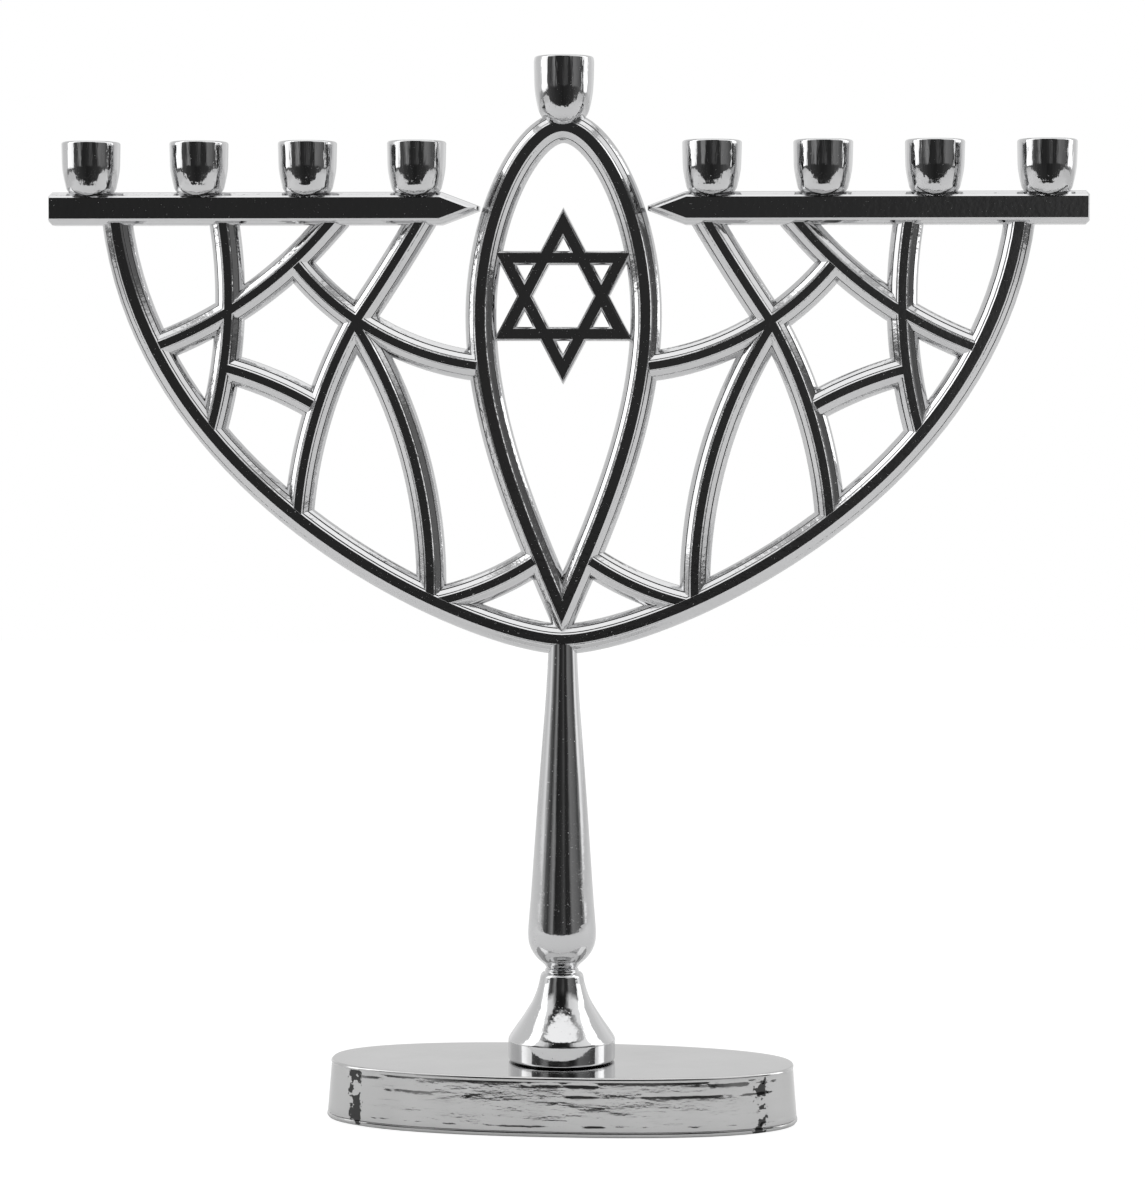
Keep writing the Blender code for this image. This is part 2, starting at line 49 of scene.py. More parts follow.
# Cleaning of meshes: how near points are joined, and the shortest edge, in metres.
JOIN_DISTANCE = 1e-6
SHORTEST_EDGE = 1e-7

# Smooth shading: the sharpest angle that stays smooth, in degrees, and how much large faces count.
CAST_CREASE = 32.0
TURNED_CREASE = 50.0
BASE_CREASE = 40.0
STEEL_CREASE = 30.0
LARGE_FACE_WEIGHT = 60

# Rails. Each quarter section runs from the edge of the crown to the middle of the side: distance
# from the crown line and half depth, in millimetres. A narrow shelf lies beside the crown and a
# level one inside the rounded outer flange.
RIB_QUARTER = (
    (1.00, 3.06), (1.24, 2.80), (1.48, 2.72), (2.46, 1.98), (2.70, 1.96), (3.30, 1.15),
    (3.66, 0.50), (3.75, 0.0),
)
BOW_QUARTER = (
    (1.22, 3.10), (1.48, 2.84), (1.74, 2.76), (2.60, 2.02), (2.84, 2.00), (3.40, 1.20),
    (3.72, 0.50), (3.80, 0.0),
)
OVAL_QUARTER = (
    (1.25, 3.08), (1.50, 2.82), (1.74, 2.74), (2.60, 2.00), (2.84, 1.98), (3.42, 1.20),
    (3.76, 0.50), (3.85, 0.0),
)
STAR_QUARTER = ((1.28, 2.00), (1.64, 1.55), (1.73, 1.20), (1.75, 0.0))

# Corners of a section are rounded by ROUNDING in millimetres, or by a share of the shorter edge beside
# them where that is less. The crown's edge is rounded by points at these steps from it.
ROUNDING = 0.07
ROUNDING_SHARE = 0.45
CROWN_ROUNDING = ((-0.16, 0.04), (-0.05, 0.025))

# Decimals of a depth in metres, so that crossing rails have exactly level faces.
DEPTH_DIGITS = 7

# Crown lines in the fan's plane, as (across, up) in metres. They are mirrored for the left half. The
# oval's side handles are lengths up and down. Points nearer its foot than OVAL_MITRE_REACH are left
# out, so that the corner there is mitred cleanly.
BOW_LOW = (0.0, 0.1193)
BOW_LOW_HANDLE = (0.0212, 0.1193)
BOW_END_HANDLE = (0.1026, 0.1537)
BOW_END = (0.1108, 0.2225)
BOW_STEPS = 40
OVAL_TOP = (0.0, 0.2445)
OVAL_TOP_HANDLE = (0.0092, 0.2445)
OVAL_SIDE = (0.0203, 0.1985)
OVAL_SIDE_HANDLES = (0.0242, 0.0258)
OVAL_POINT = (0.0, 0.1262)
OVAL_POINT_HANDLE = (0.0092, 0.1476)
OVAL_STEPS = 30
OVAL_MITRE_REACH = 0.0092

# Ribs of the right half: start, end, bulge to the left of the run, and the straight run-on past
# the start and past the end. Run-ons are hidden in the bars.
CROSSING = (0.0512, 0.1966)
RIBS = (
    ((0.0838, 0.2204), (0.0872, 0.1700), -0.0027, 0.0040, 0.0),
    ((0.0590, 0.2193), (0.0996, 0.1912), -0.0030, 0.0050, 0.0),
    (CROSSING, (0.0361, 0.2200), 0.0002, 0.0, 0.0050),
    (CROSSING, (0.0655, 0.1494), 0.0027, 0.0, 0.0),
    ((0.0656, 0.2109), (0.0212, 0.1863), 0.0049, 0.0, 0.0),
    (CROSSING, (0.0326, 0.1290), -0.0053, 0.0, 0.0),
    ((0.0830, 0.1855), (0.0618, 0.1768), -0.0007, 0.0, 0.0),
    ((0.0310, 0.1283), (0.0070, 0.1385), 0.0012, 0.0, 0.0),
)
RIB_STEPS = 22

# Bars: (distance in from the outline, half depth) in millimetres, from the front face to the side.
BAR_LEVELS = ((1.58, 4.20), (1.40, 4.15), (0.98, 3.80), (0.36, 2.74), (0.20, 2.60), (0.0, 1.90))

# Outline of a bar in metres. The shoulder is how far behind the tip the bar has its full height. As a
# level moves in, its outer end moves by a share of that distance, and its clipped corners shrink.
BAR_CORNER_CLIP = 0.0009
BAR_END_SHARE = 0.28
BAR_SHOULDER = 0.0092
BAR_TIP_HALF_HEIGHT = 0.0006
BAR_CLIP_SHRINK = 0.586
BAR_LEAST_CLIP = 0.0001
BAR_LEAST_TIP = 0.00003
BAR_SOFT_EDGE = 0.00012
BAR_SOFT_ANGLE = 12.0
BAR_SOFT_STEPS = 3

# Star, about the middle of its node: how far its tips reach up and down, the height of each triangle
# from side to tip, half the length of a side, and the width of its bands.
STAR_HALF_HEIGHT = 0.0216
STAR_SIDE_HEIGHT = 0.0326
STAR_HALF_WIDTH = 0.0172
STAR_BAND = 0.0035

# Cups: (radius, height) in millimetres above the cup's own lowest point, on smooth runs.
CUP_OUTSIDE = (
    (0.0, 0.0), (2.4, 0.30), (4.2, 1.25), (5.4, 2.10), (6.05, 2.95), (6.42, 4.30), (6.72, 5.70),
    (6.97, 7.10), (7.12, 8.60), (7.20, 11.3), (7.26, 13.9),
)
SHAMASH_OUTSIDE = (
    (0.0, 0.0), (2.2, 0.35), (3.9, 1.30), (5.2, 2.50), (5.95, 3.70), (6.42, 5.20), (6.78, 6.90),
    (7.06, 8.70), (7.22, 10.6), (7.32, 13.6), (7.38, 16.7),
)
CUP_RIM = (
    (7.26, 13.9), (7.24, 14.1), (7.12, 14.33), (6.86, 14.50), (6.40, 14.56), (5.95, 14.46), (5.62, 14.2),
)
CUP_WELL = ((5.62, 14.2), (5.45, 13.6), (5.38, 9.0), (5.30, 5.2), (5.0, 4.5), (4.2, 4.2), (0.0, 4.2))
CUP_STEPS = 72
CUPS_ON_BARS = 8

# Steps in each span of a turned outline, and of a cup's rim and well.
PROFILE_STEPS = 5
RIM_STEPS = 3

# Stem and its bell foot: (radius, height) in millimetres above the node's own lowest point.
STEM_BULB = (
    (3.9, 0.0), (4.2, 0.5), (5.0, 1.3), (6.1, 2.3), (7.3, 3.9), (8.15, 5.9), (8.42, 8.2),
    (8.30, 11.0), (7.80, 17.0),
)
STEM_SHAFT = ((7.80, 17.0), (6.95, 29.2), (6.10, 41.5), (5.15, 54.0), (4.20, 66.1), (3.72, 74.5))
STEM_TOP = ((3.72, 74.5), (3.62, 77.0), (3.54, 79.0), (3.48, 80.25))
BELL_RING = ((12.6, 0.0), (13.0, 0.12), (13.2, 0.5), (13.22, 1.2), (13.25, 4.0), (13.25, 4.9))
BELL_SHOULDER = (
    (13.25, 4.9), (13.20, 5.2), (13.02, 5.6), (12.62, 6.3), (12.05, 7.15), (11.25, 8.3),
    (10.0, 10.1), (8.5, 12.4),
)
BELL_NECK = ((8.5, 12.4), (7.2, 14.6), (6.3, 16.8), (5.7, 18.8), (5.42, 20.2), (5.25, 21.0), (4.85, 21.55))
BELL_COLLAR = ((4.85, 21.55), (4.45, 21.7), (4.2, 21.9), (4.1, 22.4), (3.9, 22.6))
TURN_STEPS = 96

# Radius of a turned piece's ring on its own axis, so that the ring can be capped.
LEAST_RADIUS = 0.00005

# Base: plan like the node's, with a wall that leans outwards to a lip. The rings of its flat top are
# shares of its size, and the lip is (inward, height).
BASE_SQUARENESS = 2.35
BASE_LEAN = 0.0010
BASE_ROWS = 44
BASE_COLUMNS = 640
BASE_EDGE = 0.0006
BASE_EDGE_STEPS = 4
TOP_RINGS = (0.25, 0.5, 0.75, 0.93)
LIP_HEIGHT = 0.0013
LIP_PROFILE = ((0.00035, 0.0012), (0.00008, 0.00105), (0.0, 0.0008), (0.0, 0.0004), (0.0003, 0.0))

# Inside of the base. The pad lies in a rebate that is open below.
BASE_WALL = 0.0030
BASE_PLATE = 0.0030
REBATE_WALL = 0.0015
REBATE_TOP = 0.0020
BOSS_RADIUS = 0.0075
BOSS_LENGTH = 0.0045
BORE_RADIUS = 0.0028

# Worked wall. A ripple is (size, depth, seed) and is drawn out along the wall. A crease is (height as
# a share of the wall, width as a share, depth, seed). It drifts up and down, and it breaks off where
# its noise is under CREASE_BREAK. A drift or a noise is (size, strength).
RIPPLE_STRETCH = 0.28
WALL_RIPPLES = ((0.0023, 0.000009, 3.1), (0.0060, 0.000015, 8.7))
WALL_CREASES = ((0.91, 0.034, 0.00006, 5.5), (0.70, 0.028, 0.00004, 2.3), (0.12, 0.034, 0.00004, 9.1))
CREASE_DRIFTS = ((0.016, 0.008), (0.0024, 0.010))
CREASE_NOISES = ((0.0075, 1.0), (0.0019, 0.45))
CREASE_BREAK = 0.06
CREASE_STEEPNESS = 3.5

# Dents where the long walls begin to turn round the ends: place and width as shares of half the
# length, depth, patches as (size, strength, seed) with a lift, and the depth's share halfway up.
CORNER_PLACE = 0.872
CORNER_WIDTH = 0.022
CORNER_DEPTH = 0.00012
CORNER_PATCHES = (0.0017, 1.5, 6.4)
CORNER_PATCH_LIFT = 0.30
CORNER_MIDDLE_SHARE = 0.35

# The wall is set back by DENT_ROOM and the worked part comes out by DENT_LIFT. The work fades out within
# 1 / DENT_FADE of the wall's height from its top and its foot.
DENT_ROOM = 0.0002
DENT_LIFT = 0.00005
DENT_FADE = 14

# Painted reflection: dark ragged patches painted on the front wall lie between two distances from the
# middle, whose edges wander. Where their noise is over the first cover value they begin, and over the second
# they are whole.
REFLECTION_BAND = (0.0494, 0.0526)
REFLECTION_WANDER = 0.0030
REFLECTION_SOFTNESS = 0.0003
REFLECTION_TOP_FADE = 0.0004
REFLECTION_FRONT_FADE = 0.001
REFLECTION_COVER = (0.475, 0.515)

# Colours from place 0 to 1 of a ramp. The base's run goes from the painted dark reflection to the clean
# plate.
BASE_TINTS_WITH_PAINTED_DARK = ((0.0, 0.06), (0.2, 0.14), (0.4, 0.50), (1.0, 0.546))
PLATE_TINTS = ((0.0, (0.545, 0.548, 0.556)), (1.0, (0.600, 0.600, 0.602)))
RUBBER_TINTS = ((0.0, (0.018, 0.018, 0.019)), (1.0, (0.040, 0.040, 0.041)))
STEEL_TINT = (0.52, 0.53, 0.55, 1.0)
PAPER_TINT = (0.80, 0.80, 0.80, 1.0)

# Camera, at about the height of the star's foot and a little to the right of the middle. Its turn and
# roll are in degrees, and its lens and sensor in millimetres.
CAMERA_DISTANCE = 0.880
CAMERA_HEIGHT = 0.182
CAMERA_TURN = 5.0
CAMERA_ROLL = 0.14
CAMERA_TARGET = (0.0024, 0.0, 0.1289)
CAMERA_LENS = 107.5
CAMERA_SENSOR = 36.0

# Studio: a pale table in a white room, dark towards the camera, with tall soft boxes either side.
# Where the camera sees the table, most of it is glow, like overexposed paper.
TABLE_HALF_WIDTH = 1.60
TABLE_FRONT = 0.52
TABLE_BACK = 1.60
PAPER_GLOW = 1.12
PAPER_GLOW_SHARE = 0.86
LEFT_PANEL_PLACE = (-0.95, -0.235, 0.725)
RIGHT_PANEL_PLACE = (0.98, 0.09, 0.725)
PANEL_SIZE = (0.485, 1.15)
PANEL_POWER = 2.1
OVERHEAD_LAMP_PLACE = (0.0, -0.1, 1.5)
OVERHEAD_LAMP_SIZE = (1.4, 1.0)
OVERHEAD_LAMP_POWER = 3.0

# Brightness of the room by angle from the camera's side, 0 in front and 180 behind, as shares of
# ROOM_STRENGTH. The left and right rounds are at eye level, and the others serve both sides.
ROOM_STRENGTH = 2.5
LOW_ROUND = ((0, 0.008), (40, 0.02), (70, 0.05), (95, 0.10), (115, 0.30), (180, 0.32))
LEFT_ROUND = (
    (0, 0.015), (20, 0.010), (31, 0.14), (46, 0.025), (58, 0.05), (72, 0.20), (84, 0.45), (104, 0.33),
    (130, 0.36), (150, 0.42), (165, 0.33), (180, 0.33),
)
RIGHT_ROUND = (
    (0, 0.015), (12, 0.04), (20, 0.012), (32, 0.015), (42, 0.10), (62, 0.075), (80, 0.035), (88, 0.12),
    (96, 0.53), (103, 0.53), (116, 0.34), (150, 0.42), (165, 0.33), (180, 0.33),
)
HIGH_ROUND = ((0, 0.006), (22, 0.01), (30, 0.16), (40, 0.40), (80, 0.50), (92, 0.34), (180, 0.34))
GAP_ROUND = ((0, 0.008), (40, 0.02), (60, 0.24), (100, 0.26), (130, 0.12), (180, 0.12))
OVERHEAD_ROUND = ((0, 0.58), (90, 0.58), (110, 0.56), (180, 0.50))

# Heights in degrees where each part of the room begins and where it is whole: eye level, above it,
# the gap over the soft boxes, and overhead. The left side blends into the right within SIDE_BLEND.
EYE_LEVEL_FROM = (-5.0, -3.0)
HIGH_FROM = (22.0, 30.0)
GAP_FROM = (48.5, 50.0)
OVERHEAD_FROM = (52.5, 54.5)
SIDE_BLEND = 0.01


def new_piece(name, mesh, slot, *nodes):
    """Add a mesh as a named piece that stands for CAD nodes and rides with them."""
    piece = bpy.data.objects.new(name, mesh)
    bpy.context.scene.collection.objects.link(piece)
    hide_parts(*nodes)
    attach(piece, "root")
    return piece


def faced_out(mesh):
    """Turn every face of a closed mesh outwards."""
    solid = bmesh.new()
    solid.from_mesh(mesh)
    bmesh.ops.remove_doubles(solid, verts=solid.verts, dist=JOIN_DISTANCE)
    bmesh.ops.dissolve_degenerate(solid, edges=solid.edges, dist=SHORTEST_EDGE)
    bmesh.ops.recalc_face_normals(solid, faces=solid.faces)
    if solid.calc_volume(signed=True) < 0:
        bmesh.ops.reverse_faces(solid, faces=solid.faces)
    solid.to_mesh(mesh)
    solid.free()
    return mesh


def loft_mesh(name, loops, endless=False):
    """Closed skin over loops of equal length. Unless it is endless, both ends are capped."""
    skin = bmesh.new()
    rings = [[skin.verts.new(point) for point in loop] for loop in loops]
    pairs = list(zip(rings, rings[1:]))
    if endless:
        pairs.append((rings[-1], rings[0]))
    for ring, following in pairs:
        count = len(ring)
        for index in range(count):
            after = (index + 1) % count
            skin.faces.new((ring[index], ring[after], following[after], following[index]))
    if not endless:
        skin.faces.new(list(reversed(rings[0])))
        skin.faces.new(rings[-1])
    mesh = bpy.data.meshes.new(name)
    skin.to_mesh(mesh)
    skin.free()
    return faced_out(mesh)


def shade(piece, degrees=CAST_CREASE):
    """Shade smooth with sharp creases, and keep flat faces flat beside small rounded edges."""
    piece.data.shade_smooth()
    piece.data.set_sharp_from_angle(angle=math.radians(degrees))
    weighted = piece.modifiers.new("weighted normals", "WEIGHTED_NORMAL")
    weighted.keep_sharp = True
    weighted.weight = LARGE_FACE_WEIGHT


def bezier(start, start_handle, end_handle, end, steps):
    """Points along a cubic curve in the fan's plane."""
    corners = [Vector(corner) for corner in (start, start_handle, end_handle, end)]
    points = []
    for step in range(steps + 1):
        share = step / steps
        rest = 1 - share
        weights = (rest**3, 3 * share * rest**2, 3 * share * share * rest, share**3)
        pulls = (weight * corner for weight, corner in zip(weights, corners))
        points.append(sum(pulls, Vector((0.0, 0.0))))
    return points


def arc(start, end, bulge, steps):
    """Points along the arc from start to end that bulges to the left of its run."""
    start, end = Vector(start), Vector(end)
    chord = end - start
    half = chord.length / 2
    radius = (half * half + bulge * bulge) / (2 * bulge)
    centre = (start + end) / 2 + Vector((-chord.y, chord.x)).normalized() * (bulge - radius)
    sweep = 2 * math.asin(half / radius)
    turns = (Matrix.Rotation(-sweep * step / steps, 2) for step in range(steps + 1))
    return [centre + turn @ (start - centre) for turn in turns]


def run_on(points, before, after):
    """Lengthen a line straight past its first and last point."""
    first = points[0] + (points[0] - points[1]).normalized() * before
    last = points[-1] + (points[-1] - points[-2]).normalized() * after
    return ([first] if before else []) + points + ([last] if after else [])


def curve_through(points, steps):
    """A smooth run through (radius, height) points, with the given number of steps in each span."""
    points = [Vector(point) for point in points]
    run = []
    for index in range(len(points) - 1):
        here, there = points[index], points[index + 1]
        before = points[index - 1] if index else here * 2 - there
        after = points[index + 2] if index + 2 < len(points) else there * 2 - here
        for step in range(steps):
            share = step / steps
            rest = 1 - share
            leaving = (here * 2 - before - there) * (share * rest**2)
            arriving = (there * 2 - here - after) * (share * share * rest)
            run.append(here + (there - here) * share + (leaving + arriving) / 2)
    return run + [points[-1]]


def softened(quarter):
    """The quarter section in metres, with each inner corner rounded a little."""
    points = [Vector(point) * MM for point in quarter]
    soft = [points[0]]
    for before, corner, after in zip(points, points[1:], points[2:]):
        shorter = min((before - corner).length, (after - corner).length)
        reach = min(ROUNDING * MM, shorter * ROUNDING_SHARE)
        first = corner + (before - corner).normalized() * reach
        last = corner + (after - corner).normalized() * reach
        soft += [first, (first + corner * 2 + last) / 4, last]
    return soft + [points[-1]]


def whole_section(quarter):
    """All four quarters as one closed outline, with the crown's edges rounded over."""
    points = softened(quarter)
    edge = points[0]
    side = [edge + Vector(step) * MM for step in CROWN_ROUNDING] + points
    front_right = [(aside, depth) for aside, depth in side]
    back_right = [(aside, -depth) for aside, depth in reversed(side[:-1])]
    back_left = [(-aside, -depth) for aside, depth in side]
    front_left = [(-aside, depth) for aside, depth in reversed(side[:-1])]
    return front_right + back_right + back_left + front_left


def sweep_mesh(name, points, section, closed=False):
    """Sweep a section along points of the fan's plane, with mitred corners."""
    points = [Vector(point) for point in points]
    count = len(points)
    loops = []
    for index, point in enumerate(points):
        arriving = point - points[index - 1] if index or closed else points[1] - points[0]
        leaving = points[(index + 1) % count] - point if closed or index < count - 1 else arriving
        before, after = (Vector((-run.y, run.x)).normalized() for run in (arriving, leaving))
        mitre = (before + after) * 2 / (before + after).length_squared
        loops.append([
            (point.x + mitre.x * aside, round(-depth, DEPTH_DIGITS), point.y + mitre.y * aside)
            for aside, depth in section
        ])
    return loft_mesh(name, loops, endless=closed)


def turned_mesh(name, profile, centre, steps):
    """Turn (radius, height) points in millimetres about an upright axis through centre."""
    loops = []
    for radius, height in profile:
        radius = max(radius * MM, LEAST_RADIUS)
        ring = []
        for step in range(steps):
            angle = 2 * math.pi * step / steps
            across, back = radius * math.cos(angle), radius * math.sin(angle)
            ring.append((centre.x + across, centre.y + back, centre.z + height * MM))
        loops.append(ring)
    return loft_mesh(name, loops)


def united_mesh(name, meshes):
    """Boolean union of closed meshes."""
    objects = [bpy.data.objects.new(f"{name} {index}", mesh) for index, mesh in enumerate(meshes)]
    for obj in objects:
        bpy.context.scene.collection.objects.link(obj)
    for other in objects[1:]:
        boolean = objects[0].modifiers.new("union", "BOOLEAN")
        boolean.operation = "UNION"
        boolean.object = other
        boolean.solver = "EXACT"
    bpy.context.view_layer.update()
    graph = bpy.context.evaluated_depsgraph_get()
    mesh = bpy.data.meshes.new_from_object(objects[0].evaluated_get(graph))
    mesh.name = name
    for obj in objects:
        bpy.data.objects.remove(obj, do_unlink=True)
    return faced_out(mesh)


def mirrored(points):
    """The same points on the left half."""
    return [Vector((-point.x, point.y)) for point in points]


def bow_line():
    """Crown line of the bow from its left end to its right end."""
    right = bezier(BOW_LOW, BOW_LOW_HANDLE, BOW_END_HANDLE, BOW_END, BOW_STEPS)
    return list(reversed(mirrored(right)))[:-1] + right


def oval_line():
    """Crown line of the oval, from its point up the right side and back down the left."""
    side = Vector(OVAL_SIDE)
    above, below = OVAL_SIDE_HANDLES
    lower = bezier(OVAL_POINT, OVAL_POINT_HANDLE, side - Vector((0.0, below)), side, OVAL_STEPS)
    upper = bezier(side, side + Vector((0.0, above)), OVAL_TOP_HANDLE, OVAL_TOP, OVAL_STEPS)
    point = lower[0]
    clear = [spot for spot in lower if (spot - point).length > OVAL_MITRE_REACH]
    right = clear + upper[1:]
    return [point] + right + list(reversed(mirrored(right)))[1:]


def wave(point, size, strength, seed):
    """Slow deterministic waviness at a point."""
    return noise.noise(Vector(point) / size + Vector((seed, 0.0, -seed))) * strength


def tree_of(name):
    """A new material's node tree and its shader."""
    material = bpy.data.materials.new(name)
    material.use_nodes = True
    tree = material.node_tree
    return material, tree, tree.nodes["Principled BSDF"]


def add_noise(tree, coordinates, scale, detail, stretch=(1.0, 1.0, 1.0)):
    """Noise over the object's own coordinates."""
    mapping = tree.nodes.new("ShaderNodeMapping")
    mapping.inputs["Scale"].default_value = stretch
    texture = tree.nodes.new("ShaderNodeTexNoise")
    texture.inputs["Scale"].default_value = scale
    texture.inputs["Detail"].default_value = detail
    tree.links.new(coordinates, mapping.inputs["Vector"])
    tree.links.new(mapping.outputs["Vector"], texture.inputs["Vector"])
    return texture.outputs["Fac"]


def add_range(tree, value, given, wanted=(0.0, 1.0)):
    """Map a value from its given range to the wanted one, and hold it at the ends."""
    node = tree.nodes.new("ShaderNodeMapRange")
    for name, number in zip(("From Min", "From Max", "To Min", "To Max"), given + wanted):
        node.inputs[name].default_value = number
    tree.links.new(value, node.inputs["Value"])
    return node.outputs["Result"]


def add_maths(tree, operation, *values):
    """A maths node whose inputs are sockets or plain numbers."""
    node = tree.nodes.new("ShaderNodeMath")
    node.operation = operation
    for index, value in enumerate(values):
        if isinstance(value, (int, float)):
            node.inputs[index].default_value = value
        else:
            tree.links.new(value, node.inputs[index])
    return node.outputs["Value"]


def opaque(tint):
    """A tint with full alpha, from one grey or from red, green and blue."""
    return (*tint, 1.0) if isinstance(tint, tuple) else (tint, tint, tint, 1.0)


def add_ramp(tree, value, stops):
    """Colour ramp; stops are (place, tint)."""
    ramp = tree.nodes.new("ShaderNodeValToRGB")
    elements = ramp.color_ramp.elements
    while len(elements) > 1:
        elements.remove(elements[-1])
    elements[0].position = stops[0][0]
    elements[0].color = opaque(stops[0][1])
    for place, tint in stops[1:]:
        element = elements.new(place)
        element.color = opaque(tint)
    tree.links.new(value, ramp.inputs["Fac"])
    return ramp.outputs["Color"]


def add_mix(tree, factor, first, second):
    """Mix two colours by a factor. The node's colours are its sockets 6 and 7, and its output 2."""
    mix = tree.nodes.new("ShaderNodeMix")
    mix.data_type = "RGBA"
    tree.links.new(factor, mix.inputs[0])
    tree.links.new(first, mix.inputs[6])
    tree.links.new(second, mix.inputs[7])
    return mix.outputs[2]


def add_bump(tree, height, distance, normal=None, strength=1.0):
    """A bump of the given depth in metres, on top of another if one is given."""
    bump = tree.nodes.new("ShaderNodeBump")
    bump.inputs["Distance"].default_value = distance
    bump.inputs["Strength"].default_value = strength
    tree.links.new(height, bump.inputs["Height"])
    if normal is not None:
        tree.links.new(normal, bump.inputs["Normal"])
    return bump.outputs["Normal"]


def plated_material(name, ripple, ripple_depth, grain_depth, streak_depth=0.0, streak_stretch=0.15):
    """Bright nickel-chrome plate: slow ripples, grain, specks, and upright streaks if any."""
    material, tree, shader = tree_of(name)
    place = tree.nodes.new("ShaderNodeTexCoord").outputs["Object"]
    shader.inputs["Metallic"].default_value = 1.0
    cloud = add_noise(tree, place, scale=90.0, detail=4.0)
    tree.links.new(add_ramp(tree, cloud, PLATE_TINTS), shader.inputs["Base Color"])
    dust = add_range(tree, add_noise(tree, place, scale=1700.0, detail=1.5), (0.68, 0.76), (0.0, 0.34))
    haze = add_range(tree, add_noise(tree, place, scale=260.0, detail=5.0), (0.35, 0.75), (0.035, 0.105))
    tree.links.new(add_maths(tree, "ADD", haze, dust), shader.inputs["Roughness"])
    normal = add_bump(tree, add_noise(tree, place, scale=ripple, detail=2.0), ripple_depth)
    normal = add_bump(tree, add_noise(tree, place, scale=760.0, detail=3.0), grain_depth, normal)
    if streak_depth:
        streaks = add_noise(tree, place, scale=520.0, detail=3.0, stretch=(1.0, 1.0, streak_stretch))
        normal = add_bump(tree, streaks, streak_depth, normal)
    tree.links.new(normal, shader.inputs["Normal"])
    return material


def add_painted_reflection(tree, place):
    """Painted dark reflection in ragged upright bands on the front wall, where its ends begin to turn back.
    """
    split = tree.nodes.new("ShaderNodeSeparateXYZ")
    tree.links.new(place, split.inputs["Vector"])
    ragged = add_noise(tree, place, scale=1100.0, detail=3.0, stretch=(1.0, 1.0, 0.6))
    wander = add_maths(tree, "MULTIPLY", ragged, REFLECTION_WANDER)
    aside = add_maths(tree, "ADD", add_maths(tree, "ABSOLUTE", split.outputs["X"]), wander)
    inner, outer = REFLECTION_BAND
    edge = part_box("base_shell")[1].z - BASE_EDGE
    begun = add_range(tree, aside, (inner, inner + REFLECTION_SOFTNESS))
    not_past = add_range(tree, aside, (outer, outer + REFLECTION_SOFTNESS), (1.0, 0.0))
    below_edge = add_range(tree, split.outputs["Z"], (edge - REFLECTION_TOP_FADE, edge), (1.0, 0.0))
    in_front = add_range(tree, split.outputs["Y"], (-REFLECTION_FRONT_FADE, REFLECTION_FRONT_FADE), (1.0, 0.0))
    cloud = add_noise(tree, place, scale=420.0, detail=4.0, stretch=(0.7, 0.7, 1.0))
    # Painted reflection: how much of the dark patch is painted at each point.
    painted_dark = add_range(tree, cloud, REFLECTION_COVER)
    for limit in (begun, not_past, below_edge, in_front):
        painted_dark = add_maths(tree, "MULTIPLY", painted_dark, limit)
    return painted_dark


def base_material():
    """The base's plate, more rippled than the rest, mostly along the wall."""
    material, tree, shader = tree_of("base plate")
    place = tree.nodes.new("ShaderNodeTexCoord").outputs["Object"]
    shader.inputs["Metallic"].default_value = 1.0
    cloud = add_range(tree, add_noise(tree, place, scale=60.0, detail=4.0), (0.3, 0.7), (0.4, 1.0))
    # Painted reflection: the plate's colour is darkened where the dark patches are painted on the front
    # wall.
    unpainted_share = add_maths(tree, "SUBTRACT", 1.0, add_painted_reflection(tree, place))
    tint = add_ramp(tree, add_maths(tree, "MULTIPLY", cloud, unpainted_share), BASE_TINTS_WITH_PAINTED_DARK)
    tree.links.new(tint, shader.inputs["Base Color"])
    haze = add_range(tree, add_noise(tree, place, scale=180.0, detail=5.0), (0.3, 0.75), (0.05, 0.13))
    tree.links.new(haze, shader.inputs["Roughness"])
    streaks = add_noise(tree, place, scale=420.0, detail=3.0, stretch=(0.22, 0.22, 1.0))
    grain = add_noise(tree, place, scale=1300.0, detail=3.0)
    normal = add_bump(tree, grain, distance=0.00001, normal=add_bump(tree, streaks, distance=0.00006))
    tree.links.new(normal, shader.inputs["Normal"])
    return material


def steel_material():
    """Turned steel: fine rings about the screw's axis, with a brushed haze."""
    material, tree, shader = tree_of("turned steel")
    place = tree.nodes.new("ShaderNodeTexCoord").outputs["Object"]
    shader.inputs["Metallic"].default_value = 1.0
    shader.inputs["Base Color"].default_value = STEEL_TINT
    rings = tree.nodes.new("ShaderNodeTexWave")
    rings.wave_type = "RINGS"
    rings.rings_direction = "Z"
    rings.inputs["Scale"].default_value = 900.0
    rings.inputs["Distortion"].default_value = 0.6
    tree.links.new(place, rings.inputs["Vector"])
    haze = add_range(tree, add_noise(tree, place, scale=500.0, detail=4.0), (0.3, 0.7), (0.24, 0.42))
    tree.links.new(haze, shader.inputs["Roughness"])
    normal = add_bump(tree, rings.outputs["Fac"], distance=0.00002, strength=0.6)
    tree.links.new(normal, shader.inputs["Normal"])
    return material


def rubber_material():
    """Closed-cell foam rubber: near black, matt, with a fine skin of cells."""
    material, tree, shader = tree_of("foam rubber")
    place = tree.nodes.new("ShaderNodeTexCoord").outputs["Object"]
    cloud = add_noise(tree, place, scale=140.0, detail=4.0)
    tree.links.new(add_ramp(tree, cloud, RUBBER_TINTS), shader.inputs["Base Color"])
    haze = add_range(tree, cloud, (0.3, 0.7), (0.82, 0.96))
    tree.links.new(haze, shader.inputs["Roughness"])
    cells = tree.nodes.new("ShaderNodeTexVoronoi")
    cells.inputs["Scale"].default_value = 2600.0
    tree.links.new(place, cells.inputs["Vector"])
    normal = add_bump(tree, cells.outputs["Distance"], distance=0.00008, strength=0.5)
    tree.links.new(normal, shader.inputs["Normal"])
    return material


def give(piece, material):
    """Let the piece show one material."""
    piece.data.materials.clear()
    piece.data.materials.append(material)


